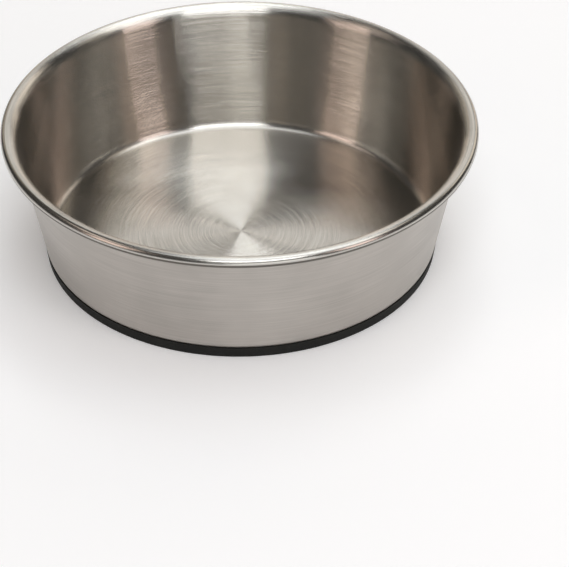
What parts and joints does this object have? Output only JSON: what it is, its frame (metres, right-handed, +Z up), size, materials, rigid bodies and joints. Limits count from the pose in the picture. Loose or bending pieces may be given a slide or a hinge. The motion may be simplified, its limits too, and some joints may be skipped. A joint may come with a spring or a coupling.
{
  "type": "pet bowl",
  "caption": "Round stainless feeding bowl with a leaning wall, a flat floor and a rolled rim, bonded to a moulded rubber base that keeps it from sliding.",
  "frame": {"origin": "middle of the flat foot face that stands on the table", "axes": "+Z is up, along the bowl's axis; the bowl is round, so X and Y are any two level directions"},
  "size_m": [0.229, 0.229, 0.0688],
  "materials": {
    "stainless_steel": "circular brushed inside, satin outside, polished rolled rim",
    "adhesive": "cured dark contact adhesive",
    "black_rubber": "moulded matt black"
  },
  "bodies": {
    "root": {"bowl_shell": "stainless_steel", "bond_film": "adhesive", "rubber_base": "black_rubber"}
  },
  "joints": []
}
